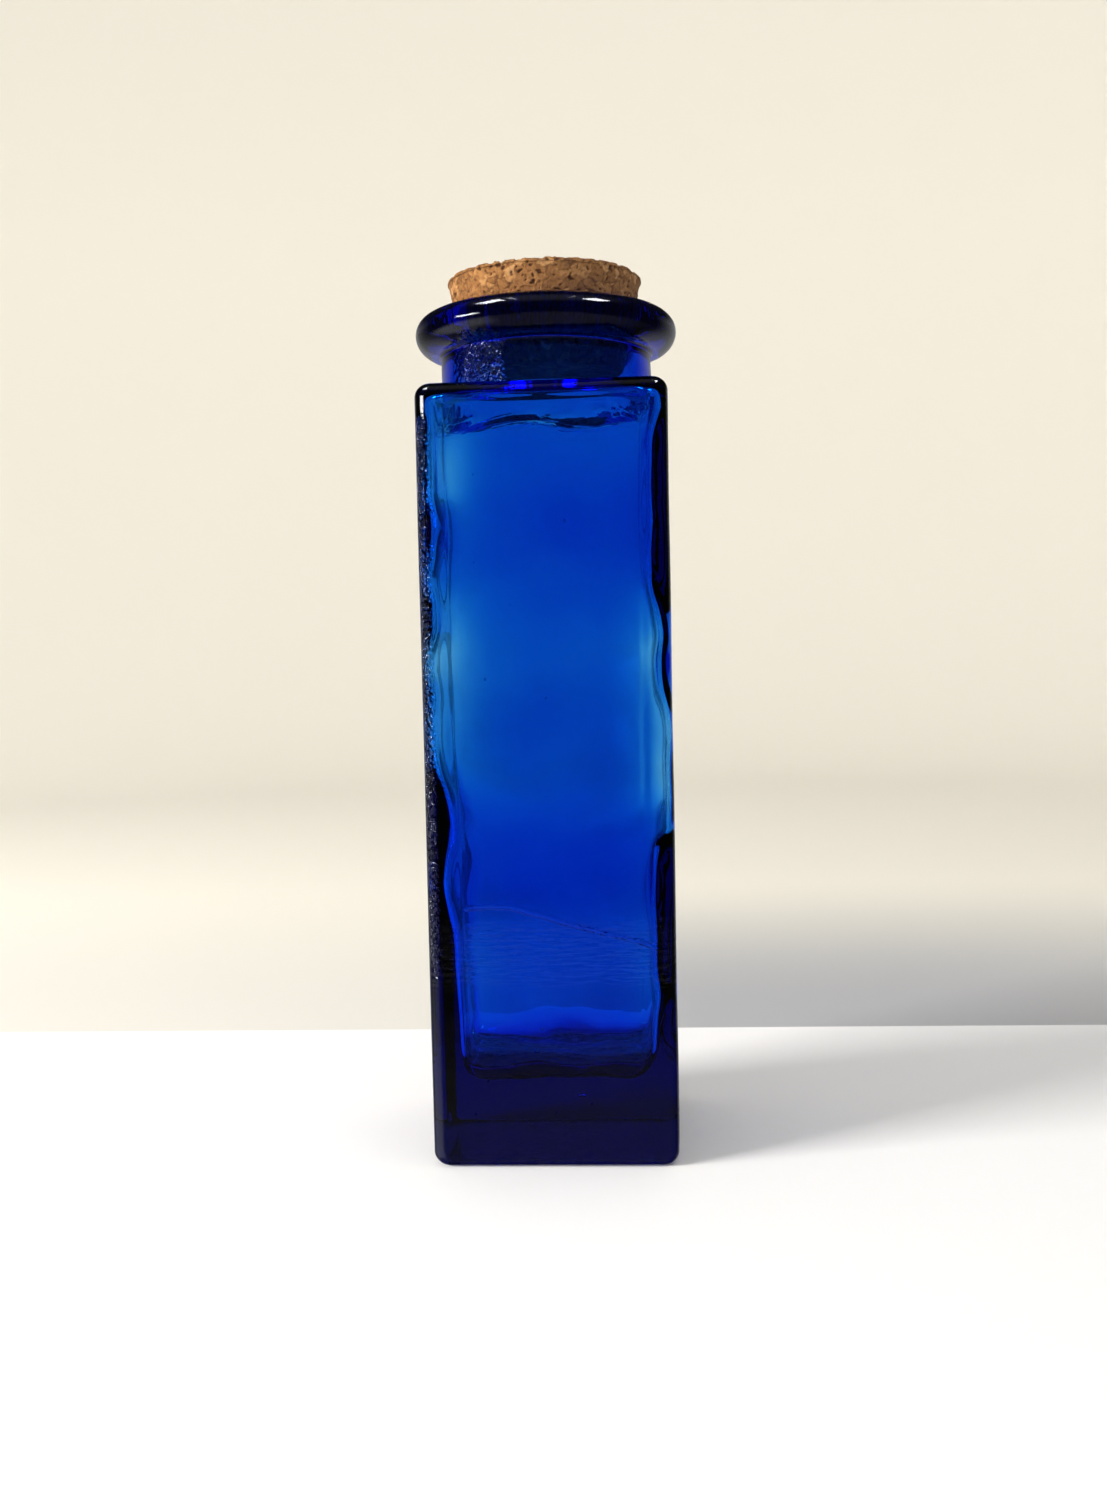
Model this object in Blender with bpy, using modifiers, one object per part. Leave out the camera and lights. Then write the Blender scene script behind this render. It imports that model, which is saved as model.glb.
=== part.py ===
"""Square glass storage jar with a cork stopper.

The jar is one thick piece of glass: a square body with rounded edges, a short round neck and a fat
rolled lip round the mouth. The stopper is a tapered plug of agglomerated cork that wedges in the
lip and hangs down into the neck. Lengths are in metres, +Z is up, and the origin is the centre of
the face that the jar stands on.
"""

import math

import bmesh
import bpy

# ---- Driving dimensions ----
OVERALL_HEIGHT = 0.300          # floor to the top of the stopper
BODY_WIDTH = 0.0825             # across the flats of the square body
SHOULDER_HEIGHT = 0.2594        # floor to the flat top of the body
CORNER_RADIUS = 0.0060          # the four upright edges
SHOULDER_RADIUS = 0.0045        # the edges round the top of the body
FOOT_RADIUS = 0.0045            # the edges round the bottom of the body

BASE_THICKNESS = 0.0270         # the heavy slug of glass under the cavity
WALL_AT_FLOOR = 0.0076          # side wall where it meets the base
WALL_AT_SHOULDER = 0.0048       # side wall just under the shoulder
SHOULDER_THICKNESS = 0.0049
CAVITY_EDGE_RADIUS = 0.0070     # all the inside edges of the body

NECK_RADIUS = 0.0364
NECK_FILLET = 0.0010            # where the neck grows out of the shoulder
NECK_ROOT_DEPTH = 0.0024        # how far the neck's ring sinks into the shoulder
LIP_RADIUS = 0.0452
LIP_HALF_HEIGHT = 0.0069
LIP_TOP = 0.2876                # floor to the crown of the lip

STOPPER_TOP_RADIUS = 0.0337
STOPPER_HEIGHT = 0.0335
STOPPER_DRAFT = math.radians(11.5)
STOPPER_TOP_EDGE = 0.0022       # worn round
STOPPER_BOTTOM_EDGE = 0.0015
SEAT_GAP = 0.0003               # between the stopper and the inside of the lip that it wedges on

# ---- Worked out from them ----
HALF_BODY = BODY_WIDTH / 2
CEILING = SHOULDER_HEIGHT - SHOULDER_THICKNESS
STOPPER_BOTTOM = OVERALL_HEIGHT - STOPPER_HEIGHT
STOPPER_BOTTOM_RADIUS = STOPPER_TOP_RADIUS - STOPPER_HEIGHT * math.tan(STOPPER_DRAFT)

# The lip's section is an ellipse, just wide enough for its inner side to come within the seat gap
# of the stopper's sloping side.
LIP_CENTRE = LIP_TOP - LIP_HALF_HEIGHT
STOPPER_RADIUS_AT_LIP = STOPPER_TOP_RADIUS - (OVERALL_HEIGHT - LIP_CENTRE) * math.tan(STOPPER_DRAFT)
LIP_ROOM = LIP_RADIUS - STOPPER_RADIUS_AT_LIP - SEAT_GAP / math.cos(STOPPER_DRAFT)
LIP_HALF_WIDTH = (LIP_ROOM**2 - (LIP_HALF_HEIGHT * math.tan(STOPPER_DRAFT)) ** 2) / (2 * LIP_ROOM)
LIP_RING_RADIUS = LIP_RADIUS - LIP_HALF_WIDTH
BORE_RADIUS = LIP_RING_RADIUS - LIP_HALF_WIDTH

# ---- Fineness of the faceted surfaces ----
TURNED_STEPS = 72
EDGE_SEGMENTS = 5
ARC_STEPS = 5
LIP_STEPS = 22
MERGE = 0.00001


def clear_scene():
    for obj in list(bpy.data.objects):
        bpy.data.objects.remove(obj)


def new_collection(name):
    collection = bpy.data.collections.new(name)
    bpy.context.scene.collection.children.link(collection)
    return collection


def make_material(name, colour, roughness, transmission=0.0, ior=1.5):
    material = bpy.data.materials.new(name)
    material.use_nodes = True
    shader = material.node_tree.nodes["Principled BSDF"]
    shader.inputs["Base Color"].default_value = (*colour, 1.0)
    shader.inputs["Roughness"].default_value = roughness
    shader.inputs["Metallic"].default_value = 0.0
    shader.inputs["Transmission Weight"].default_value = transmission
    shader.inputs["IOR"].default_value = ior
    return material


def add_object(name, mesh, collection):
    obj = bpy.data.objects.new(name, mesh)
    collection.objects.link(obj)
    return obj


def mesh_from(bm, name):
    mesh = bpy.data.meshes.new(name)
    bm.to_mesh(mesh)
    bm.free()
    return mesh


def as_cutter(obj):
    """A helper that shapes another object and isn't a part itself."""
    obj.hide_render = True
    obj.display_type = "WIRE"
    return obj


def arc(centre_r, centre_z, half_width, half_height, start, end, steps):
    """Points (radius, height) along part of an ellipse, from one angle to another in degrees."""
    points = []
    for step in range(steps + 1):
        angle = math.radians(start + (end - start) * step / steps)
        points.append((centre_r + half_width * math.cos(angle), centre_z + half_height * math.sin(angle)))
    return points


def turned(name, profile, collection, closed=False):
    """A profile of (radius, height) points, outer side running down, spun about the Z axis."""
    bm = bmesh.new()
    corners = [bm.verts.new((radius, 0.0, height)) for radius, height in profile]
    for first, second in zip(corners, corners[1:]):
        bm.edges.new((first, second))
    if closed:
        bm.edges.new((corners[-1], corners[0]))
    obj = add_object(name, mesh_from(bm, name), collection)
    screw = obj.modifiers.new("spin", "SCREW")
    screw.angle = 2 * math.pi
    screw.steps = TURNED_STEPS
    screw.render_steps = TURNED_STEPS
    screw.use_merge_vertices = True
    screw.merge_threshold = MERGE
    return obj


def rounded_block(name, half_bottom, half_top, bottom, top, radii, collection):
    """A square block, tapered if its halves differ. radii are those of its upright, top and bottom edges."""
    upright, upper, lower = radii
    widest = max(radii)
    bm = bmesh.new()
    bmesh.ops.create_cube(bm, size=2.0)
    for vert in bm.verts:
        half = half_top if vert.co.z > 0 else half_bottom
        vert.co.x *= half
        vert.co.y *= half
        vert.co.z = top if vert.co.z > 0 else bottom
    weight = bm.edges.layers.float.new("bevel_weight_edge")
    middle = (top + bottom) / 2
    for edge in bm.edges:
        heights = [vert.co.z for vert in edge.verts]
        if min(heights) > middle:
            edge[weight] = upper / widest
        elif max(heights) < middle:
            edge[weight] = lower / widest
        else:
            edge[weight] = upright / widest
    obj = add_object(name, mesh_from(bm, name), collection)
    bevel = obj.modifiers.new("round_edges", "BEVEL")
    bevel.limit_method = "WEIGHT"
    bevel.width = widest
    bevel.segments = EDGE_SEGMENTS
    return obj


def add_boolean(obj, other, operation):
    modifier = obj.modifiers.new(f"{operation.lower()}_{other.name}", "BOOLEAN")
    modifier.operation = operation
    modifier.solver = "EXACT"
    modifier.object = other


def neck_and_lip_profile():
    """The closed outline of the neck and lip: up the bore, over the lip, down the outside of the neck."""
    root = SHOULDER_HEIGHT - NECK_ROOT_DEPTH
    overhang = (NECK_RADIUS - LIP_RING_RADIUS) / LIP_HALF_WIDTH
    crease = -math.degrees(math.acos(overhang))     # where the lip's underside meets the neck
    bore_bottom = [(BORE_RADIUS, root)]
    lip = arc(LIP_RING_RADIUS, LIP_CENTRE, LIP_HALF_WIDTH, LIP_HALF_HEIGHT, 180, crease, LIP_STEPS)
    fillet = arc(NECK_RADIUS + NECK_FILLET, SHOULDER_HEIGHT + NECK_FILLET, NECK_FILLET, NECK_FILLET,
                 180, 270, ARC_STEPS)
    fillet_root = [(NECK_RADIUS + NECK_FILLET, root)]
    return bore_bottom + lip + fillet + fillet_root


def throat_profile():
    """The funnel that opens the bore out into the body's cavity. It narrows to less than the bore above."""
    slope = 0.42                                    # radius lost for each metre of rise
    low, high = CEILING - 0.006, SHOULDER_HEIGHT + 0.006
    meets_bore = SHOULDER_HEIGHT + 0.0028
    low_radius = BORE_RADIUS + slope * (meets_bore - low)
    high_radius = BORE_RADIUS - slope * (high - meets_bore)
    return [(0.0, high), (high_radius, high), (low_radius, low), (0.0, low)]


def make_glass_jar(parts, helpers, material):
    jar = rounded_block("glass_jar", HALF_BODY, HALF_BODY, 0.0, SHOULDER_HEIGHT,
                        (CORNER_RADIUS, SHOULDER_RADIUS, FOOT_RADIUS), parts)
    ring = as_cutter(turned("neck_ring", neck_and_lip_profile(), helpers, closed=True))
    cavity = as_cutter(rounded_block("cavity", HALF_BODY - WALL_AT_FLOOR, HALF_BODY - WALL_AT_SHOULDER,
                                     BASE_THICKNESS, CEILING, (CAVITY_EDGE_RADIUS,) * 3, helpers))
    throat = as_cutter(turned("throat", throat_profile(), helpers))
    add_boolean(jar, ring, "UNION")
    add_boolean(jar, cavity, "DIFFERENCE")
    add_boolean(jar, throat, "DIFFERENCE")
    jar.data.materials.append(material)
    return jar


def stopper_profile():
    """Half of the plug's outline: across the top, round the worn edge, down the tapered side, across the bottom."""
    lean = math.degrees(STOPPER_DRAFT)
    top_edge = arc(STOPPER_TOP_RADIUS - STOPPER_TOP_EDGE, OVERALL_HEIGHT - STOPPER_TOP_EDGE,
                   STOPPER_TOP_EDGE, STOPPER_TOP_EDGE, 90, -lean, ARC_STEPS)
    bottom_edge = arc(STOPPER_BOTTOM_RADIUS - STOPPER_BOTTOM_EDGE, STOPPER_BOTTOM + STOPPER_BOTTOM_EDGE,
                      STOPPER_BOTTOM_EDGE, STOPPER_BOTTOM_EDGE, -lean, -90, ARC_STEPS)
    return [(0.0, OVERALL_HEIGHT)] + top_edge + bottom_edge + [(0.0, STOPPER_BOTTOM)]


def make_cork_stopper(parts, material):
    stopper = turned("cork_stopper", stopper_profile(), parts)
    stopper.data.materials.append(material)
    return stopper


def main():
    clear_scene()
    parts = new_collection("stoppered_square_jar")
    helpers = new_collection("cutters")
    cobalt = make_material("cobalt_glass", (0.02, 0.09, 0.62), 0.03, transmission=1.0)
    cork = make_material("cork", (0.46, 0.27, 0.13), 0.85)
    make_glass_jar(parts, helpers, cobalt)
    make_cork_stopper(parts, cork)


main()
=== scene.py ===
"""Looks for the square cobalt glass jar and its cork stopper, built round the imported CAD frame."""

import math

import bpy
import numpy as np
from mathutils import Matrix, Vector, noise


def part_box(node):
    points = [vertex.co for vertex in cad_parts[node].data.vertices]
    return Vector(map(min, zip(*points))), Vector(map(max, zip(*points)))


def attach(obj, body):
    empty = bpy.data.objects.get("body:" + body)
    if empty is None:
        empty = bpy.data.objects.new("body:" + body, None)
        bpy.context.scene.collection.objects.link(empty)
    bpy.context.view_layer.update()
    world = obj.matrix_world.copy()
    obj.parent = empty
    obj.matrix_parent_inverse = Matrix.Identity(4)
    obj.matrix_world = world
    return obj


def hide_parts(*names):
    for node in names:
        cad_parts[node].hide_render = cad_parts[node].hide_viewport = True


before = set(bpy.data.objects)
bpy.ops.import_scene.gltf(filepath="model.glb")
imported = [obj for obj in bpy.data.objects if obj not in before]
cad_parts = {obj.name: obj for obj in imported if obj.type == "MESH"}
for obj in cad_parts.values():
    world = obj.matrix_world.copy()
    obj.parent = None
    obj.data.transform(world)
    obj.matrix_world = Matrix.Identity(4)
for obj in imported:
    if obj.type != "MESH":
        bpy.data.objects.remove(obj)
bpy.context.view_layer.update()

MM = 0.001
JAR_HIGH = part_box("glass_jar")[1]
CORK_LOW, CORK_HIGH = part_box("cork_stopper")
RANDOM = np.random.default_rng(11)
noise.seed_set(11)              # or noise.noise_vector would differ from run to run

# Lengths are in metres where nothing else is said. The jar's front faces -Y.

# ---- The jar's own sizes, as in its CAD ----
BODY_HALF = 0.04125             # half the width of the square body
SHOULDER = 0.2594               # top of the body
CORNER = 0.0060                 # rounding of the upright edges
SHOULDER_EDGE = 0.0045          # rounding round the top of the body
FOOT_EDGE = 0.0045              # rounding round the foot
NECK = 0.0364                   # outer radius of the neck
LIP = JAR_HIGH.x
LIP_TALL = 0.0069               # half the lip's height
LIP_WIDE = 0.0075               # half the width of the lip's section
BORE = LIP - 2 * LIP_WIDE
FLOOR = 0.0270                  # top of the base's glass
INNER_TOP = BODY_HALF - 0.0048  # half the width of the inside, at the shoulder
INNER_FLOOR = BODY_HALF - 0.0076    # and just above the floor

# ---- The cork's own sizes, as in its CAD ----
CORK_TOP_RADIUS = CORK_HIGH.x
CORK_DRAFT = math.radians(11.5)
CORK_FOOT = 0.0015              # rounding of the bottom edge

# ---- Finer shape of the jar, where it differs from the CAD ----
AROUND_JAR = 336                # points in each ring, a multiple of four
FOOT_EDGE_BACK = 0.0010         # rounding of the foot at the back
UNDERSIDE_HOLLOW = 0.0006
NECK_FILLET = 0.0004            # tighter than the CAD's
GRIP = 0.0004                   # how far the mouth's glass presses into the cork
GRIP_FROM, GRIP_FULL = 0.2755, 0.2790       # heights over which the bore comes in to meet the cork
LIP_GRIP_FROM, LIP_GRIP_FULL = 118, 132     # and the degrees round the lip's section
INNER_EDGE = 0.0050             # rounding of the inner upright edges
FLOOR_EDGE = 0.0090             # rounding round the floor, at the back
FLOOR_EDGE_FRONT = 0.0135
CEILING = SHOULDER - 0.0031     # underside of the shoulder's glass
CEILING_EDGE = 0.0034           # rounding between the ceiling and the walls
WALL_TOP = CEILING - CEILING_EDGE
THROAT_EDGE = 0.0024            # rounding between the bore and the ceiling, at the front
THROAT_EDGE_BACK = 0.0085
THROAT_BEAD = 0.0014            # how far the glass sags round the back of the throat

# Thickness of each wall of the hand-worked glass, in millimetres, at heights in millimetres.
LEFT_WALL = ((34, 10.0), (45, 9.5), (55, 8.9), (66, 8.0), (77, 7.4), (86, 6.0), (95, 5.0), (103, 5.6),
             (110, 7.0), (119, 7.0), (125, 5.8), (132, 3.4), (138, 2.2), (150, 2.0), (158, 2.6),
             (166, 1.5), (173, 1.9), (180, 3.6), (188, 3.3), (196, 2.2), (204, 3.6), (213, 4.8),
             (223, 3.4), (231, 3.4), (240, 3.4), (250, 3.2))
RIGHT_WALL = ((34, 6.4), (48, 5.6), (57, 4.6), (65, 5.3), (78, 5.2), (89, 6.2), (98, 6.0), (103, 5.2),
              (107, 4.0), (111, 1.5), (115, 1.2), (135, 1.2), (152, 1.6), (160, 3.2), (168, 3.6),
              (177, 2.8), (184, 3.5), (190, 4.6), (203, 5.5), (214, 5.2), (231, 5.3), (242, 5.0),
              (250, 3.6))
BROAD_WALL = ((34, 7.2), (50, 6.9), (69, 6.9), (80, 7.4), (96, 8.2), (108, 7.0), (122, 6.1), (149, 6.2),
              (175, 5.5), (195, 6.2), (214, 6.9), (232, 6.5), (242, 6.3), (250, 6.3))

# How thin the front and back walls grow towards each side, as shares of THIN_BY, at heights in millimetres.
LEFT_THIN = ((36, 0.2), (50, 0.35), (75, 0.25), (95, 0.0), (110, 0.0), (132, 0.5), (150, 0.75), (172, 0.8),
             (190, 0.6), (203, 0.25), (212, 0.2), (224, 0.8), (240, 0.9), (250, 0.6))
RIGHT_THIN = ((40, 0.45), (60, 0.45), (75, 0.3), (90, 0.1), (108, 0.3), (120, 0.85), (150, 0.75),
              (172, 1.0), (186, 0.6), (200, 0.1), (250, 0.0))
THIN_BY = 3.9                   # millimetres


# ---------------------------------------------------------------- shapes

def rounded_square(half, corner, angles):
    """Distance from the centre to a rounded square's outline in each direction."""
    u, v = np.abs(np.cos(angles)), np.abs(np.sin(angles))
    flat = half / np.maximum(u, v)
    inset = half - corner
    along = flat * np.minimum(u, v)
    reach_in = inset * (u + v)
    inside = np.maximum(reach_in**2 - 2 * inset**2 + corner**2, 0.0)
    return np.where(along <= inset, flat, reach_in + np.sqrt(inside))


def ring_angles(count):
    """Directions round the axis, crowded together at the body's four corners. A multiple of four."""
    fine = np.linspace(0, math.pi / 2, 2001)
    crowding = 1 + 7 * np.exp(-(((fine - math.pi / 4) / math.radians(6)) ** 2))
    travelled = np.concatenate([[0], np.cumsum((crowding[1:] + crowding[:-1]) / 2)])
    quarter = np.interp(np.arange(count // 4) / (count // 4) * travelled[-1], travelled, fine)
    return np.concatenate([quarter + k * math.pi / 2 for k in range(4)])


def ring(radius, height, angles):
    """One ring of points. radius and height are numbers, or one for each direction."""
    radius = np.broadcast_to(radius, angles.shape)
    height = np.broadcast_to(height, angles.shape)
    return np.stack([radius * np.cos(angles), radius * np.sin(angles), height], axis=1)


def skin(rings, first, last):
    """Points and faces of a closed surface over rings of points, with a fan to one point at each end."""
    count, around = rings.shape[:2]
    index = 1 + np.arange(count * around).reshape(count, around)
    right = np.roll(index, -1, axis=1)
    quads = np.stack([index[:-1], right[:-1], right[1:], index[1:]], axis=-1).reshape(-1, 4)
    end = count * around + 1
    fan_in = [(0, b, a) for a, b in zip(index[0].tolist(), right[0].tolist())]
    fan_out = [(end, a, b) for a, b in zip(index[-1].tolist(), right[-1].tolist())]
    points = np.concatenate([[first], rings.reshape(-1, 3), [last]])
    return points, quads.tolist() + fan_in + fan_out


def add_piece(name, points, faces):
    mesh = bpy.data.meshes.new(name)
    mesh.from_pydata(points.tolist(), [], faces)
    mesh.shade_smooth()
    mesh.update()
    piece = bpy.data.objects.new(name, mesh)
    bpy.context.scene.collection.objects.link(piece)
    return piece


def grid_normals(rings):
    """Unit normals of a surface over rings of points."""
    along = np.gradient(rings, axis=0)
    around = np.roll(rings, -1, axis=1) - np.roll(rings, 1, axis=1)
    normals = np.cross(around, along)
    return normals / np.maximum(np.linalg.norm(normals, axis=-1, keepdims=True), 1e-12)


def swell(points, wavelength, waves, seed, stretch=(1, 1, 1)):
    """Smooth random bumps, about -1 to 1: a sum of plane waves of that wavelength in random directions."""
    draw = np.random.default_rng(seed)
    total = np.zeros(points.shape[:-1])
    for _ in range(waves):
        direction = draw.normal(size=3)
        direction /= np.linalg.norm(direction)
        length = wavelength * draw.uniform(0.75, 1.35)
        turn = 2 * math.pi / length * (points / np.array(stretch)) @ direction
        total += np.sin(turn + draw.uniform(0, 2 * math.pi))
    return total / math.sqrt(waves / 2) / 1.6


def ease(value, low, high):
    """0 below low, 1 above high, and smooth between."""
    share = np.clip((value - low) / (high - low), 0, 1)
    return share * share * (3 - 2 * share)


def through(heights, knots):
    """A smooth curve through (height, value) knots in millimetres, read at heights in metres."""
    at, value = np.array(knots, float).T
    tangent = np.gradient(value, at)
    place = np.clip(heights / MM, at[0], at[-1])
    index = np.clip(np.searchsorted(at, place) - 1, 0, len(at) - 2)
    step = at[index + 1] - at[index]
    t = (place - at[index]) / step
    rise = (2 * t**3 - 3 * t**2 + 1) * value[index] + (3 * t**2 - 2 * t**3) * value[index + 1]
    lean = (t**3 - 2 * t**2 + t) * tangent[index] + (t**3 - t**2) * tangent[index + 1]
    return rise + step * lean


# ---------------------------------------------------------------- glass jar: plain shape

def neck_fillet(gap):
    """How far the neck's root rises above the shoulder at this distance from the neck."""
    inside = np.clip(NECK_FILLET - gap, 0, NECK_FILLET)
    return NECK_FILLET - np.sqrt(NECK_FILLET**2 - inside**2)


def body_rings(angles):
    """The outside from the middle of the underside, round the foot and up to the shoulder's edge."""
    rings = []
    foot = FOOT_EDGE + (FOOT_EDGE_BACK - FOOT_EDGE) * ease(np.sin(angles), 0.55, 0.85)
    underside = rounded_square(BODY_HALF - foot, CORNER - foot, angles)
    for share in np.linspace(0.12, 0.97, 8):
        rings.append(ring(underside * share, UNDERSIDE_HOLLOW * (1 - share**2), angles))
    for turn in np.radians(np.linspace(-90, 0, 11)):
        out = foot * (math.cos(turn) - 1)
        outline = rounded_square(BODY_HALF + out, CORNER + out, angles)
        rings.append(ring(outline, foot * (1 + math.sin(turn)), angles))
    side = rounded_square(BODY_HALF, CORNER, angles)
    for height in np.linspace(FOOT_EDGE, SHOULDER - SHOULDER_EDGE, 110)[1:-1]:
        rings.append(ring(side, height, angles))
    return rings


def shoulder_rings(angles):
    """The outside from the shoulder's edge in to the neck."""
    rings = []
    for turn in np.radians(np.linspace(0, 90, 12)):
        out = SHOULDER_EDGE * math.cos(turn)
        outline = rounded_square(BODY_HALF - SHOULDER_EDGE + out, CORNER - SHOULDER_EDGE + out, angles)
        height = SHOULDER - SHOULDER_EDGE + SHOULDER_EDGE * math.sin(turn)
        rings.append(ring(outline, height + neck_fillet(outline - NECK), angles))
    edge = rounded_square(BODY_HALF - SHOULDER_EDGE, CORNER - SHOULDER_EDGE, angles)
    for share in 1 - (1 - np.linspace(0, 1, 14)[1:]) ** 2:
        outline = edge + (NECK - edge) * share
        rings.append(ring(outline, SHOULDER + neck_fillet(outline - NECK), angles))
    return rings


def cork_cone(height):
    """Radius of the seated cork's plain cone at a height."""
    return CORK_TOP_RADIUS - (CORK_HIGH.z - height) * math.tan(CORK_DRAFT)


def lip_rings(angles):
    """The outside of the neck, and the lip over the top as far as the bore."""
    centre, height = LIP - LIP_WIDE, JAR_HIGH.z - LIP_TALL
    crease = -math.degrees(math.acos((NECK - centre) / LIP_WIDE))
    low = height + LIP_TALL * math.sin(math.radians(crease))
    rings = [ring(NECK, z, angles) for z in np.linspace(SHOULDER + NECK_FILLET, low, 14)[1:]]
    for turn in np.radians(np.linspace(crease, 180, 60)[1:]):
        radius, top = centre + LIP_WIDE * math.cos(turn), height + LIP_TALL * math.sin(turn)
        held = ease(math.degrees(turn), LIP_GRIP_FROM, LIP_GRIP_FULL)
        rings.append(ring(radius + (cork_cone(top) - GRIP - radius) * held, top, angles))
    return rings


def seat(height):
    """How far the mouth's glass stands in from the plain bore, to grip the cork's cone."""
    return np.maximum(BORE + GRIP - cork_cone(height), 0.0) * ease(height, GRIP_FROM, GRIP_FULL)


def throat_rings(angles, edge, sag):
    """The inside from the lip down the bore, and out round its lower edge."""
    rings = []
    start = JAR_HIGH.z - LIP_TALL
    for share in np.linspace(0, 1, 18)[1:]:
        height = start + (CEILING - sag + edge - start) * share
        rings.append(ring(BORE - seat(height), height, angles))
    for turn in np.radians(np.linspace(180, 270, 30)[1:]):
        height = CEILING - sag + edge * (1 + math.sin(turn))
        rings.append(ring(BORE + edge * (1 + math.cos(turn)), height, angles))
    return rings


def inner_wall(height, angles):
    """The straight-sided start for the inner walls, before the glass is worked."""
    share = np.clip((height - FLOOR - FLOOR_EDGE) / (WALL_TOP - FLOOR - FLOOR_EDGE), 0, 1)
    return rounded_square(INNER_FLOOR + (INNER_TOP - INNER_FLOOR) * share, INNER_EDGE, angles)


def ceiling_rings(angles, edge, sag):
    """The underside of the shoulder, and round to the top of the walls."""
    rings = []
    inner, outer = BORE + edge, inner_wall(WALL_TOP, angles) - CEILING_EDGE
    for share in np.linspace(0, 1, 12)[1:-1]:
        outline = np.maximum(inner + (outer - inner) * share, inner * (1 + 0.002 * share))
        rings.append(ring(outline, CEILING - sag * (1 - share), angles))
    for turn in np.radians(np.linspace(90, 0, 16)):
        outline = outer + CEILING_EDGE * math.cos(turn)
        rings.append(ring(outline, WALL_TOP + CEILING_EDGE * math.sin(turn), angles))
    return rings


def wall_rings(angles, foot):
    """The inner walls, and the floor in to its middle."""
    rings = []
    for share in np.linspace(0, 1, 190)[1:]:
        height = WALL_TOP + (FLOOR + foot - WALL_TOP) * share
        rings.append(ring(inner_wall(height, angles), height, angles))
    low = inner_wall(FLOOR + foot, angles)
    for turn in np.radians(np.linspace(0, -90, 16)[1:]):
        rings.append(ring(low - foot * (1 - math.cos(turn)), FLOOR + foot * (1 + math.sin(turn)), angles))
    for share in np.linspace(1, 0.08, 18)[1:]:
        rings.append(ring((low - foot) * share, FLOOR, angles))
    return rings


def inner_rings(angles):
    back = ease(np.sin(angles), -0.3, 0.3)
    edge = THROAT_EDGE + (THROAT_EDGE_BACK - THROAT_EDGE) * back
    sag = THROAT_BEAD * back
    foot = FLOOR_EDGE + (FLOOR_EDGE_FRONT - FLOOR_EDGE) * (1 - back)
    return throat_rings(angles, edge, sag) + ceiling_rings(angles, edge, sag) + wall_rings(angles, foot)


# ---------------------------------------------------------------- glass jar: worked by hand

def wall_growth(rings, normals):
    """How much thicker than its plain taper the worked glass is at each point of the inside."""
    x, z = rings[..., 0], rings[..., 2]
    taper = BODY_HALF - INNER_FLOOR
    taper = taper + (INNER_FLOOR - INNER_TOP) * np.clip((z - FLOOR) / (WALL_TOP - FLOOR), 0, 1)
    left = ease(normals[..., 0], 0.15, 0.9) * (through(z, LEFT_WALL) * MM - taper)
    right = ease(-normals[..., 0], 0.15, 0.9) * (through(z, RIGHT_WALL) * MM - taper)
    facing = ease(np.abs(normals[..., 1]), 0.3, 0.95)
    thin = through(z, LEFT_THIN) * ease(-x, 0.012, 0.034) + through(z, RIGHT_THIN) * ease(x, 0.018, 0.036)
    broad = facing * (through(z, BROAD_WALL) * MM - taper - THIN_BY * MM * thin)
    return left + right + broad


def throat_ripples(rings):
    """Ripples round the back of the throat. They are the dark rippled band seen under the shoulder."""
    y, z = rings[..., 1], rings[..., 2]
    zone = ease(z, CEILING - 0.004, CEILING - 0.002) * (1 - ease(z, CEILING + 0.0045, CEILING + 0.0075))
    zone *= 1 - ease(np.hypot(rings[..., 0], y), BORE + 0.009, BORE + 0.0125)
    zone *= ease(y, -0.006, 0.006)
    coarse = 0.50 * MM * swell(rings, 0.0040, 18, 6, stretch=(1.6, 1.6, 0.9))
    return zone * (coarse + 0.10 * MM * swell(rings, 0.0019, 18, 16))


def floor_waves(rings):
    waves = 0.45 * MM * swell(rings, 0.017, 12, 8) + 0.12 * MM * swell(rings, 0.006, 14, 13)
    return waves * (1 - ease(rings[..., 2], FLOOR, FLOOR + 0.014))


def inner_push(rings, normals):
    """How far into the hollow each point of the inside is pushed."""
    z = rings[..., 2]
    in_body = ease(z, FLOOR + 0.001, FLOOR + 0.012) * (1 - ease(z, CEILING - 0.001, CEILING + 0.001))
    broad = 0.30 * MM * swell(rings, 0.050, 12, 3) + 0.16 * MM * swell(rings, 0.021, 14, 4)
    fine = 0.030 * MM * swell(rings, 0.0075, 16, 5, stretch=(1, 1, 2))
    walls = in_body * (wall_growth(rings, normals) + broad + fine)
    return walls + throat_ripples(rings) + floor_waves(rings)


def outer_push(rings):
    """How far out each point of the outside is pushed: faint waves, and dips in the top and the foot."""
    z = rings[..., 2]
    waves = 0.07 * MM * swell(rings, 0.060, 10, 9) + 0.012 * MM * swell(rings, 0.011, 14, 10)
    top_dip = 0.16 * MM * np.abs(swell(rings, 0.034, 10, 12)) * ease(z, SHOULDER, SHOULDER + 0.006)
    foot_dip = 0.30 * MM * np.abs(swell(rings, 0.016, 12, 14)) * ease(z, 0.0, 0.003)
    foot_dip *= 1 + 1.6 * ease(rings[..., 1], 0.0, 0.03)
    return (waves - top_dip) * ease(z, 0.0, 0.008) - foot_dip * (1 - ease(z, 0.004, 0.010))


def hand_worked(rings, inner_from):
    """The jar's surface, as uneven as hand-worked glass. Rings from inner_from on are the inside."""
    normals = grid_normals(rings)
    is_inner = (np.arange(len(rings)) >= inner_from)[:, None]
    push = np.where(is_inner, inner_push(rings, normals), outer_push(rings))
    return rings + normals * push[..., None]


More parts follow.
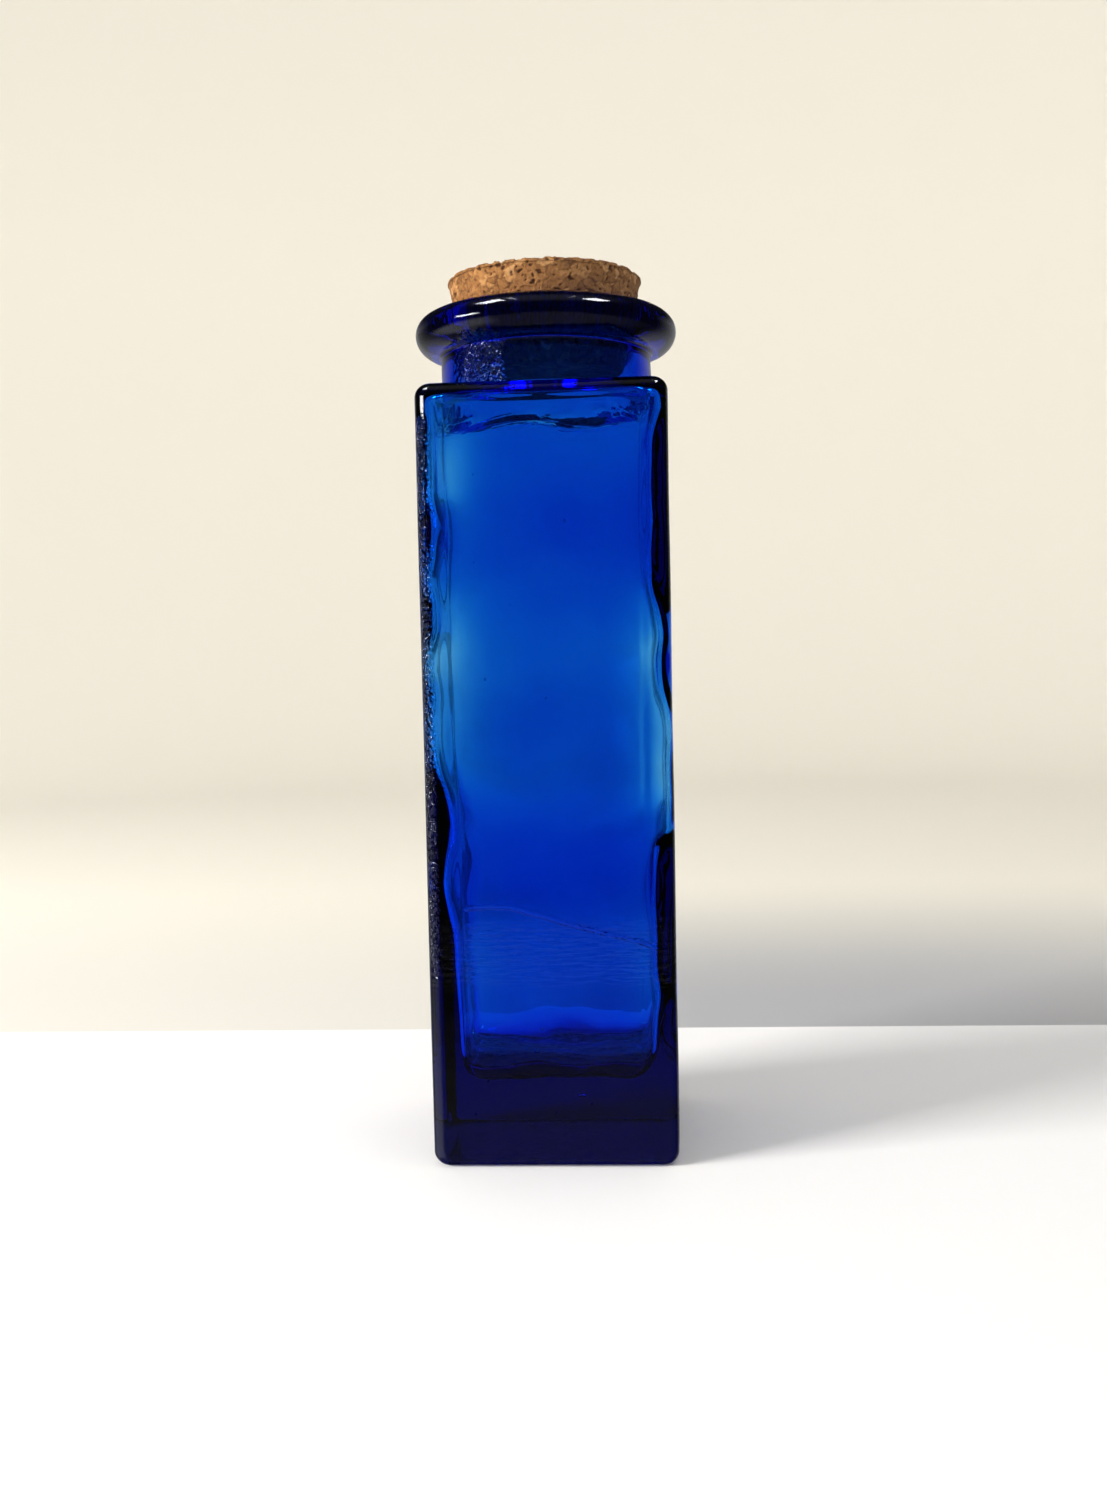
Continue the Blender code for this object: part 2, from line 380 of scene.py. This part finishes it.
def smooth_between(rings, low, high, passes):
    """Softens creases along the profile between two ring numbers."""
    soft = rings.copy()
    for _ in range(passes):
        soft[low:high] = 0.25 * soft[low - 1:high - 1] + 0.5 * soft[low:high] + 0.25 * soft[low + 1:high + 1]
    return soft


def seed_bubble(place, size):
    """Points and faces of one seed: a small closed hollow in the glass, so it faces inwards."""
    turns = np.linspace(0, 2 * math.pi, 12, endpoint=False)
    rings = [ring(math.cos(t), math.sin(t), turns) for t in np.radians(np.linspace(-72, 72, 7))]
    points, faces = skin(np.array(rings), (0, 0, -1), (0, 0, 1))
    return points * np.array(size) + np.array(place), [face[::-1] for face in faces]


SEEDS_IN_WALLS = 16
SEEDS_IN_BASE = 9


def seed_places():
    """(place, size) of each seed. The first few are where the photograph shows them, the rest scattered."""
    front = -BODY_HALF
    placed = [((0.0072, front + 0.0030, 0.2135), (0.0004, 0.0004, 0.0006)),
              ((-0.0036, front + 0.0030, 0.0465), (0.0004, 0.0004, 0.0006)),
              ((-0.0058, front + 0.0060, 0.0385), (0.0009, 0.0009, 0.0007)),
              ((0.0090, front + 0.0090, 0.0230), (0.0017, 0.0012, 0.0005))]
    for _ in range(SEEDS_IN_WALLS):
        side = RANDOM.choice((-1, 1))
        across, height = RANDOM.uniform(-0.030, 0.030), RANDOM.uniform(0.03, 0.24)
        depth = side * (BODY_HALF - RANDOM.uniform(0.0009, 0.0016))
        place = (across, depth, height) if RANDOM.random() < 0.5 else (depth, across, height)
        small = RANDOM.uniform(0.00012, 0.00030)
        placed.append((place, (small, small, small * RANDOM.uniform(1.2, 2.4))))
    for _ in range(SEEDS_IN_BASE):
        place = (*RANDOM.uniform(-0.030, 0.030, 2), RANDOM.uniform(0.006, 0.022))
        small = RANDOM.uniform(0.0002, 0.0005)
        placed.append((place, (small, small, small)))
    return placed


def make_jar():
    angles = ring_angles(AROUND_JAR)
    outer = body_rings(angles) + shoulder_rings(angles)
    lip, inner = lip_rings(angles), inner_rings(angles)
    rings = np.array(outer + lip + inner)
    under_lip = len(outer) + 7
    rings = smooth_between(rings, under_lip, under_lip + 17, 3)
    rings = hand_worked(rings, len(outer) + len(lip))
    points, faces = skin(rings, (0, 0, UNDERSIDE_HOLLOW), (0, 0, rings[-1, :, 2].mean()))
    for place, size in seed_places():
        more_points, more_faces = seed_bubble(place, size)
        faces += [tuple(i + len(points) for i in face) for face in more_faces]
        points = np.concatenate([points, more_points])
    return add_piece("blue_glass_jar", points, faces)


# ---------------------------------------------------------------- cork stopper

AROUND_CORK = 600               # points in each ring
CORK_RIM = 0.0016               # rounding of the top edge, tighter than the CAD's
GRANULE = 0.0034                # typical width of a granule
CORK_INSET = 0.10               # millimetres, so that granules hardly stand out past the CAD
JOINT_DEPTH = 0.42              # millimetres, between granules
PIT_DEPTH = 0.60                # millimetres


def cork_profile():
    """(radius, height) points from the middle of the underside, up the side and over the top."""
    tall = CORK_HIGH.z - CORK_LOW.z
    low = CORK_TOP_RADIUS - tall * math.tan(CORK_DRAFT)
    draft = math.degrees(CORK_DRAFT)
    points = [(low * s, CORK_LOW.z) for s in np.linspace(0.04, 0.93, 30)]
    for turn in np.radians(np.linspace(-90, -draft, 6)):
        points.append((low - CORK_FOOT + CORK_FOOT * math.cos(turn),
                       CORK_LOW.z + CORK_FOOT + CORK_FOOT * math.sin(turn)))
    side = np.concatenate([np.linspace(0, 0.55, 34)[1:], np.linspace(0.55, 1, 54)[1:-1]])
    for share in side:
        z = CORK_LOW.z + CORK_FOOT + (tall - CORK_FOOT - CORK_RIM) * share
        points.append((low + (z - CORK_LOW.z) * math.tan(CORK_DRAFT), z))
    for turn in np.radians(np.linspace(-draft, 90, 10)):
        points.append((CORK_TOP_RADIUS - CORK_RIM + CORK_RIM * math.cos(turn),
                       CORK_HIGH.z - CORK_RIM + CORK_RIM * math.sin(turn)))
    points += [((CORK_TOP_RADIUS - CORK_RIM) * s, CORK_HIGH.z) for s in np.linspace(0.985, 0.03, 70)]
    return points


def granules(point):
    """(gap, tone) of the cork granule at a point: how near its edge is, in metres, and its own tone."""
    bent = point + 0.0010 * noise.noise_vector(point / 0.0019)
    distances, centres = noise.voronoi(Vector((bent.x, bent.y, bent.z * 1.3)) / GRANULE)
    tone = noise.cell(centres[0] * 7.3 + Vector((3.1, 1.7, 9.2)))
    return (distances[1] - distances[0]) * GRANULE, tone


def chipped_rim(rings, gap, tone, worn):
    """How deep the top edge is chipped away: whole granules here and there, and long worn stretches."""
    out = np.hypot(rings[..., 0], rings[..., 1])
    rim = np.exp(-(((rings[..., 2] - CORK_HIGH.z + 0.0004) / 0.0015) ** 2))
    rim = rim * ease(out, CORK_TOP_RADIUS - 0.005, CORK_TOP_RADIUS - 0.001)
    return rim * (0.95 * ease(tone, 0.45, 0.7) * ease(gap, 0.0, 0.0006) + 0.6 * ease(worn, 0.0, 0.4)) * MM


def make_cork():
    angles = np.linspace(0, 2 * math.pi, AROUND_CORK, endpoint=False)
    rings = np.array([ring(radius, height, angles) for radius, height in cork_profile()])
    normals = grid_normals(rings)
    shape = rings.shape[:2]
    flat = [Vector(p) for p in rings.reshape(-1, 3).tolist()]
    gap, tone = np.array([granules(p) for p in flat]).T.reshape(2, *shape)
    small = np.array([noise.noise(p / 0.0012) for p in flat]).reshape(shape)
    worn = np.array([noise.noise(p / 0.0050) for p in flat]).reshape(shape)
    joint = (1 - ease(gap, 0.0, 0.00050)) * ease(worn, -0.05, 0.25)
    pit = ease(small - 0.55 * worn, 0.40, 0.60)
    sink = (JOINT_DEPTH * joint + PIT_DEPTH * pit) * MM + chipped_rim(rings, gap, tone, worn)
    lump = 0.16 * MM * (tone - 0.5) * ease(gap, 0, 0.0006) + 0.05 * MM * small
    rings = rings + normals * (lump - CORK_INSET * MM - sink)[..., None]
    points, faces = skin(rings, (0, 0, rings[0, :, 2].mean()), (0, 0, rings[-1, :, 2].mean()))
    cork = add_piece("cork_plug", points, faces)
    paint(cork, "cork_pit", np.maximum(0.8 * joint, pit))
    paint(cork, "cork_tone", tone)
    return cork


def paint(piece, name, value):
    """Stores a number at each ring point, for the material to read, and 0 at the two end points."""
    attribute = piece.data.attributes.new(name, "FLOAT", "POINT")
    values = np.concatenate([[0.0], value.ravel(), [0.0]]).astype(np.float32)
    attribute.data.foreach_set("value", values)


# ---------------------------------------------------------------- shader nodes

def new_material(name):
    material = bpy.data.materials.new(name)
    material.use_nodes = True
    tree = material.node_tree
    return material, tree, tree.nodes["Principled BSDF"]


def node(tree, kind, inputs=None, **settings):
    """Adds a shader node. inputs gives a socket a number, a colour or another node's output to link."""
    made = tree.nodes.new(kind)
    for key, value in settings.items():
        setattr(made, key, value)
    for key, value in (inputs or {}).items():
        if isinstance(value, bpy.types.NodeSocket):
            tree.links.new(value, made.inputs[key])
        else:
            made.inputs[key].default_value = value
    return made


def calculate(tree, operation, first, second):
    return node(tree, "ShaderNodeMath", {0: first, 1: second}, operation=operation).outputs["Value"]


def times(tree, *values):
    total = values[0]
    for value in values[1:]:
        total = calculate(tree, "MULTIPLY", total, value)
    return total


def plus(tree, *values):
    total = values[0]
    for value in values[1:]:
        total = calculate(tree, "ADD", total, value)
    return total


def scaled(tree, vector, scale):
    made = node(tree, "ShaderNodeVectorMath", {0: vector, 1: scale}, operation="MULTIPLY")
    return made.outputs["Vector"]


def step_up(tree, value, low, high):
    """0 at low, 1 at high, and smooth between. With high below low it steps down instead."""
    made = node(tree, "ShaderNodeMapRange", {"Value": value, "From Min": low, "From Max": high},
                interpolation_type="SMOOTHSTEP")
    return made.outputs["Result"]


def between(tree, value, edges):
    """1 where value is between the middle two of four edges, 0 outside the outer two, and smooth between."""
    rise = step_up(tree, value, edges[0], edges[1])
    fall = step_up(tree, value, edges[3], edges[2])
    return times(tree, rise, fall)


def ramp(tree, factor, stops):
    made = node(tree, "ShaderNodeValToRGB", {"Fac": factor})
    elements = made.color_ramp.elements
    while len(elements) < len(stops):
        elements.new(0.5)
    for element, (place, colour) in zip(elements, stops):
        element.position = place
        element.color = (*colour, 1.0)
    return made.outputs["Color"]


def stretched_noise(tree, place, scale):
    """Noise with its own scale along each axis, centred on 0."""
    where = scaled(tree, place, scale)
    found = node(tree, "ShaderNodeTexNoise", {"Vector": where, "Scale": 1.0, "Detail": 2.0}).outputs["Fac"]
    return calculate(tree, "SUBTRACT", found, 0.5)


def chips(tree, place, scale):
    """Pits and facets: the distance to the nearest of many scattered points."""
    return node(tree, "ShaderNodeTexVoronoi", {"Vector": place, "Scale": scale}).outputs["Distance"]


# ---------------------------------------------------------------- materials

GLASS_IOR = 1.51
GLASS_TINT = (0.0, 0.65, 0.9475, 1.0)
GLASS_DENSITY = 640.0
GLASS_BUMP = 0.00012            # how deep a bump of height 1 is


def chatter_marks(tree, place, axes, front):
    zone = times(tree, front, between(tree, axes["Z"], (0.058, 0.066, 0.078, 0.086)))
    return times(tree, stretched_noise(tree, place, (120, 120, 900)), zone, 3.2)


def long_crease(tree, place, axes, front):
    """One thin crease that runs down across the front from left to right."""
    run = node(tree, "ShaderNodeMapRange", {"Value": axes["X"], "From Min": -0.014, "From Max": 0.037,
                                            "To Min": 0.0874, "To Max": 0.0728}).outputs["Result"]
    wander = times(tree, stretched_noise(tree, place, (60, 0, 0)), 0.003)
    off = plus(tree, axes["Z"], times(tree, plus(tree, run, wander), -1.0))
    return times(tree, front, between(tree, off, (-0.0007, -0.0001, 0.0001, 0.0007)),
                 between(tree, axes["X"], (-0.029, -0.026, 0.030, 0.038)), 2.6)


def pitted_seam(tree, place, axes):
    """The mould's seam down the left front edge."""
    zone = times(tree, between(tree, axes["X"], (-0.050, -0.046, -0.0385, -0.0360)),
                 between(tree, axes["Y"], (-0.046, -0.042, -0.034, -0.030)),
                 between(tree, axes["Z"], (0.060, 0.075, 0.246, 0.250)))
    return times(tree, zone, chips(tree, place, 760.0), 5.0)


def stippled_foot(tree, place, axes):
    zone = between(tree, axes["Z"], (-0.002, -0.001, 0.0035, 0.0060))
    return times(tree, stretched_noise(tree, place, (700, 700, 700)), zone, 2.2)


def crackled_neck(tree, place, axes):
    """A crackled patch on the left of the neck's front."""
    zone = times(tree, between(tree, axes["Z"], (0.259, 0.261, 0.274, 0.277)),
                 between(tree, axes["X"], (-0.028, -0.024, -0.013, -0.010)),
                 between(tree, axes["Y"], (-0.040, -0.038, -0.015, -0.010)))
    rough = plus(tree, chips(tree, place, 620.0), stretched_noise(tree, place, (500, 500, 500)))
    return times(tree, zone, rough, 5.0)


def throat_wrinkles(tree, place, axes):
    """Wrinkles under the back of the shoulder, finer than the ripples in the shape."""
    level = scaled(tree, place, (1.0, 1.0, 0.0))
    from_axis = node(tree, "ShaderNodeVectorMath", {0: level}, operation="LENGTH").outputs["Value"]
    zone = times(tree, between(tree, from_axis, (0.028, 0.030, 0.0385, 0.0395)),
                 between(tree, axes["Y"], (0.000, 0.012, 0.050, 0.060)),
                 between(tree, axes["Z"], (0.2500, 0.2530, 0.2590, 0.2620)))
    return times(tree, stretched_noise(tree, place, (330, 330, 480)), zone, 4.5)


def cobalt_glass():
    """Deep blue glass, coloured through its thickness, with the fine marks of hand work as bump."""
    material, tree, shader = new_material("cobalt_glass")
    place = node(tree, "ShaderNodeTexCoord").outputs["Object"]
    axes = node(tree, "ShaderNodeSeparateXYZ", {"Vector": place}).outputs
    shader.inputs["Roughness"].default_value = 0.0
    shader.inputs["IOR"].default_value = GLASS_IOR
    shader.inputs["Transmission Weight"].default_value = 1.0
    pull = node(tree, "ShaderNodeTexNoise", {"Vector": place, "Scale": 28.0, "Detail": 3.0}).outputs["Fac"]
    tree.links.new(ramp(tree, pull, [(0.3, (0.93, 0.96, 1.0)), (0.7, (1.0, 1.0, 1.0))]),
                   shader.inputs["Base Color"])

    front = between(tree, axes["Y"], (-0.050, -0.046, -0.034, -0.030))
    streaks = times(tree, stretched_noise(tree, place, (45, 45, 420)), 0.10)
    dimples = times(tree, stretched_noise(tree, place, (170, 170, 170)), 0.12)
    height = plus(tree, streaks, dimples, chatter_marks(tree, place, axes, front),
                  long_crease(tree, place, axes, front), pitted_seam(tree, place, axes),
                  stippled_foot(tree, place, axes), crackled_neck(tree, place, axes),
                  throat_wrinkles(tree, place, axes))
    bump = node(tree, "ShaderNodeBump", {"Height": height, "Strength": 1.0, "Distance": GLASS_BUMP})
    tree.links.new(bump.outputs["Normal"], shader.inputs["Normal"])
    inside = node(tree, "ShaderNodeVolumeAbsorption", {"Color": GLASS_TINT, "Density": GLASS_DENSITY})
    tree.links.new(inside.outputs["Volume"], tree.nodes["Material Output"].inputs["Volume"])
    return material


CORK_TONES = [(0.0, (0.27, 0.120, 0.036)), (0.4, (0.35, 0.165, 0.052)),
              (0.8, (0.41, 0.205, 0.070)), (1.0, (0.48, 0.26, 0.102))]
CORK_SPECKS = [(0.30, (0.45, 0.38, 0.32)), (0.55, (1.0, 1.0, 1.0)), (0.8, (1.12, 1.08, 1.0))]
CORK_PIT_COLOUR = (0.085, 0.032, 0.012, 1.0)


def cork_material():
    """Granules of several browns, speckled, and dark in the pits and joints."""
    material, tree, shader = new_material("agglomerated_cork")
    place = node(tree, "ShaderNodeTexCoord").outputs["Object"]
    tone = node(tree, "ShaderNodeAttribute", attribute_name="cork_tone").outputs["Fac"]
    pit = node(tree, "ShaderNodeAttribute", attribute_name="cork_pit").outputs["Fac"]
    grain = node(tree, "ShaderNodeTexNoise", {"Vector": place, "Scale": 900.0, "Detail": 6.0,
                                              "Roughness": 0.65}).outputs["Fac"]
    mixed = node(tree, "ShaderNodeMix", {"Factor": 0.8}, data_type="RGBA", blend_type="MULTIPLY")
    tree.links.new(ramp(tree, tone, CORK_TONES), mixed.inputs["A"])
    tree.links.new(ramp(tree, grain, CORK_SPECKS), mixed.inputs["B"])
    dark = node(tree, "ShaderNodeMix", {"Factor": pit}, data_type="RGBA")
    tree.links.new(mixed.outputs["Result"], dark.inputs["A"])
    dark.inputs["B"].default_value = CORK_PIT_COLOUR
    tree.links.new(dark.outputs["Result"], shader.inputs["Base Color"])
    shader.inputs["Roughness"].default_value = 0.82
    bump = node(tree, "ShaderNodeBump", {"Height": grain, "Strength": 0.5, "Distance": 0.0003})
    tree.links.new(bump.outputs["Normal"], shader.inputs["Normal"])
    return material


# ---------------------------------------------------------------- stage

TABLE_BACK = 0.147              # where the white table top ends behind the jar
TABLE_COLOUR = (0.93, 0.93, 0.94, 1.0)
# The cream wall beyond the table, then the greys of a painted shadow along the table's edge, deepest towards
# the right.
CREAM_AND_PAINTED_SHADOW = [(0.0, (0.93, 0.89, 0.80)), (0.3, (0.78, 0.76, 0.70)), (1.0, (0.46, 0.465, 0.49))]
AROUND_BOWL = 96                # points in each ring of the surround
BOWL_FLAT = 1.5                 # the pale surround is flat this far out, and then curves up
BOWL_BEND = 0.9
BOWL_HIGH = 3.2


def make_stage():
    angles = np.linspace(0, 2 * math.pi, AROUND_BOWL, endpoint=False)
    rings = [ring(r, 0.0, angles) for r in np.linspace(0.05, BOWL_FLAT, 10)]
    for turn in np.radians(np.linspace(0, 90, 14)[1:]):
        rings.append(ring(BOWL_FLAT + BOWL_BEND * math.sin(turn), BOWL_BEND * (1 - math.cos(turn)), angles))
    rings.append(ring(BOWL_FLAT + BOWL_BEND, BOWL_HIGH, angles))
    rings = np.array(rings)
    count, around = rings.shape[:2]
    index = 1 + np.arange(count * around).reshape(count, around)
    right = np.roll(index, -1, axis=1)
    quads = np.stack([index[:-1], index[1:], right[1:], right[:-1]], axis=-1).reshape(-1, 4).tolist()
    fan = [(0, a, b) for a, b in zip(index[0], right[0])]
    points = np.concatenate([[(0, 0, 0)], rings.reshape(-1, 3)])
    surround = add_piece("surround", points, quads + fan)
    surround.data.materials.append(stage_material())
    surround.visible_glossy = False


def stage_material():
    """White table top in front, and cream beyond its back edge, with painted shade along that edge that
    deepens to a painted shadow towards the right.
    """
    material, tree, shader = new_material("pale_surround")
    place = node(tree, "ShaderNodeTexCoord").outputs["Object"]
    axes = node(tree, "ShaderNodeSeparateXYZ", {"Vector": place}).outputs
    beyond = node(tree, "ShaderNodeMapRange", {"Value": axes["Y"], "From Min": TABLE_BACK - 0.0006,
                                               "From Max": TABLE_BACK + 0.0006}).outputs["Result"]
    # Painted shade: a grey band just past the table's edge, growing into a painted shadow of the jar towards
    # the right.
    low = between(tree, axes["Y"], (TABLE_BACK - 0.01, TABLE_BACK, 0.19, 0.60))
    right = between(tree, axes["X"], (-0.06, 0.06, 0.14, 0.70))
    painted_shadow = times(tree, low, plus(tree, times(tree, right, 0.7), 0.3))
    mixed = node(tree, "ShaderNodeMix", {"Factor": beyond}, data_type="RGBA")
    mixed.inputs["A"].default_value = TABLE_COLOUR
    tree.links.new(ramp(tree, painted_shadow, CREAM_AND_PAINTED_SHADOW), mixed.inputs["B"])
    tree.links.new(mixed.outputs["Result"], shader.inputs["Base Color"])
    shader.inputs["Roughness"].default_value = 0.7
    shader.inputs["Specular IOR Level"].default_value = 0.1
    return material


# ---------------------------------------------------------------- light

AMBIENT = 0.62                  # the even light that falls on everything
AMBIENT_COLOUR = (0.93, 0.96, 1.0, 1.0)
SEEN_THROUGH = 0.20             # the room above the surround, as seen through the glass
SEEN_THROUGH_COLOUR = (1.0, 0.985, 0.95, 1.0)
ROOM_DIM = 0.015                # the room between the glows, as seen in reflections
ROOM_COLOUR = (0.97, 0.98, 1.0, 1.0)

# Soft glows that show only as reflections: compass, half width, low and high edges, softness and brightness.
GLOWS = ((-1.45, 0.50, -0.70, -0.22, 0.12, 0.70),     # the table to the left
         (0.0, 1.6, -2.0, -0.25, 0.06, 0.13),         # the table in front
         (3.14, 0.75, -0.60, 0.30, 0.12, 0.35),       # the wall behind
         (-1.19, 0.15, 0.13, 0.24, 0.02, 22.0),       # a window to the left
         (0.0, 2.1, 0.80, 3.0, 0.12, 0.20))           # the ceiling

# Strip lights overhead, which show only as reflections: left and right edges, as slopes from straight up,
# and brightness. The last line is their near and far ends, as slopes too.
STRIPS = ((-0.78, -0.42, 19.0), (-0.34, -0.28, 3.6), (0.25, 0.29, 1.8), (0.48, 0.76, 19.0))
STRIP_NEAR, STRIP_FAR = -0.34, -0.02

WINDOW_PLACE, WINDOW_AIM = (-1.45, -0.72, 0.72), (0, 0, 0.12)
WINDOW_SIZE = (0.62, 0.55)
WINDOW_POWER = 43
WINDOW_COLOUR = (1.0, 0.97, 0.92)


def soft_glow(tree, direction, compass, half_width, low, high, soft):
    """How strongly a glow at a compass direction (radians from -Y towards +X) shows, from 0 to 1."""
    facing = (math.sin(compass), -math.cos(compass), 0.0)
    level = scaled(tree, direction, (1.0, 1.0, 0.0))
    unit = node(tree, "ShaderNodeVectorMath", {0: level}, operation="NORMALIZE").outputs["Vector"]
    along = node(tree, "ShaderNodeVectorMath", {0: unit, 1: facing}, operation="DOT_PRODUCT")
    far, near = math.cos(min(half_width * 1.5, math.pi)), math.cos(min(half_width * 0.55, math.pi - 0.1))
    across = step_up(tree, along.outputs["Value"], far - 0.01, near)
    height = node(tree, "ShaderNodeSeparateXYZ", {"Vector": direction}).outputs["Z"]
    tall = between(tree, height, (low - soft, low + soft, high - soft, high + soft))
    return times(tree, tall, across)


def strips_glow(tree, direction):
    """How brightly the strip lights overhead show in a direction."""
    axes = node(tree, "ShaderNodeSeparateXYZ", {"Vector": direction}).outputs
    across = calculate(tree, "DIVIDE", axes["X"], axes["Z"])
    along = calculate(tree, "DIVIDE", axes["Y"], axes["Z"])
    above = calculate(tree, "GREATER_THAN", axes["Z"], 0.1)
    lit = [times(tree, between(tree, across, (left - 0.02, left + 0.02, right - 0.02, right + 0.02)), bright)
           for left, right, bright in STRIPS]
    deep = between(tree, along, (STRIP_NEAR - 0.04, STRIP_NEAR + 0.04, STRIP_FAR - 0.04, STRIP_FAR + 0.04))
    return times(tree, plus(tree, *lit), deep, above)


def make_world():
    """Even light all round. Reflections see a dim room with soft glows instead, to keep the glass deep."""
    world = bpy.data.worlds.new("soft_room")
    world.use_nodes = True
    tree = world.node_tree
    ambient = tree.nodes["Background"]
    ambient.inputs["Color"].default_value = AMBIENT_COLOUR
    ambient.inputs["Strength"].default_value = AMBIENT
    direction = node(tree, "ShaderNodeTexCoord").outputs["Generated"]
    glows = [times(tree, soft_glow(tree, direction, *place), bright) for *place, bright in GLOWS]
    glow = plus(tree, *glows, strips_glow(tree, direction), ROOM_DIM)
    room = node(tree, "ShaderNodeBackground", {"Color": ROOM_COLOUR, "Strength": glow})
    behind = node(tree, "ShaderNodeBackground", {"Color": SEEN_THROUGH_COLOUR, "Strength": SEEN_THROUGH})
    ray = node(tree, "ShaderNodeLightPath").outputs
    seen = node(tree, "ShaderNodeMixShader", {0: ray["Is Transmission Ray"],
                                              1: ambient.outputs["Background"],
                                              2: behind.outputs["Background"]})
    either = node(tree, "ShaderNodeMixShader", {0: ray["Is Glossy Ray"], 1: seen.outputs["Shader"],
                                                2: room.outputs["Background"]})
    tree.links.new(either.outputs["Shader"], tree.nodes["World Output"].inputs["Surface"])
    bpy.context.scene.world = world


def make_window():
    """The key light, from the left. It casts light and shade but doesn't show in the glass or through it."""
    data = bpy.data.lights.new("window", "AREA")
    data.shape = "RECTANGLE"
    data.size, data.size_y = WINDOW_SIZE
    data.energy = WINDOW_POWER
    data.color = WINDOW_COLOUR
    window = bpy.data.objects.new("window", data)
    window.location = WINDOW_PLACE
    aim = Vector(WINDOW_AIM) - Vector(WINDOW_PLACE)
    window.rotation_euler = aim.to_track_quat("-Z", "Y").to_euler()
    window.visible_transmission = False
    window.visible_glossy = False
    bpy.context.scene.collection.objects.link(window)


# ---------------------------------------------------------------- camera

CAMERA_TURN = 0.0596            # radians round the jar, towards +X
CAMERA_SIDE = -0.0003
CAMERA_BACK = 0.5298
CAMERA_HEIGHT = 0.1696
CAMERA_DIP = 0.0619             # radians
CAMERA_ROLL = -0.0214
CAMERA_LENS = 36.0              # millimetres, as is the sensor's width
CAMERA_SENSOR = 36.0


def make_camera():
    data = bpy.data.cameras.new("camera")
    data.lens = CAMERA_LENS
    data.sensor_width = CAMERA_SENSOR
    data.clip_start = 0.01
    camera = bpy.data.objects.new("camera", data)
    turn = Matrix.Rotation(CAMERA_TURN, 4, "Z")
    place = Matrix.Translation((CAMERA_SIDE, -CAMERA_BACK, CAMERA_HEIGHT))
    tilt = Matrix.Rotation(math.pi / 2 - CAMERA_DIP, 4, "X")
    roll = Matrix.Rotation(CAMERA_ROLL, 4, "Z")
    camera.matrix_world = turn @ place @ tilt @ roll
    bpy.context.scene.collection.objects.link(camera)
    bpy.context.scene.camera = camera


# ---------------------------------------------------------------- assembly

GLASS_BOUNCES = 24              # the thick walls and their seeds need many


def main():
    jar = make_jar()
    jar.data.materials.append(cobalt_glass())
    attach(jar, "jar")
    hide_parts("glass_jar")

    cork = make_cork()
    cork.data.materials.append(cork_material())
    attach(cork, "stopper")
    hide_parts("cork_stopper")

    make_stage()
    make_world()
    make_window()
    make_camera()
    scene = bpy.context.scene
    scene.view_settings.view_transform = "Standard"
    scene.cycles.max_bounces = GLASS_BOUNCES
    scene.cycles.transmission_bounces = GLASS_BOUNCES


main()
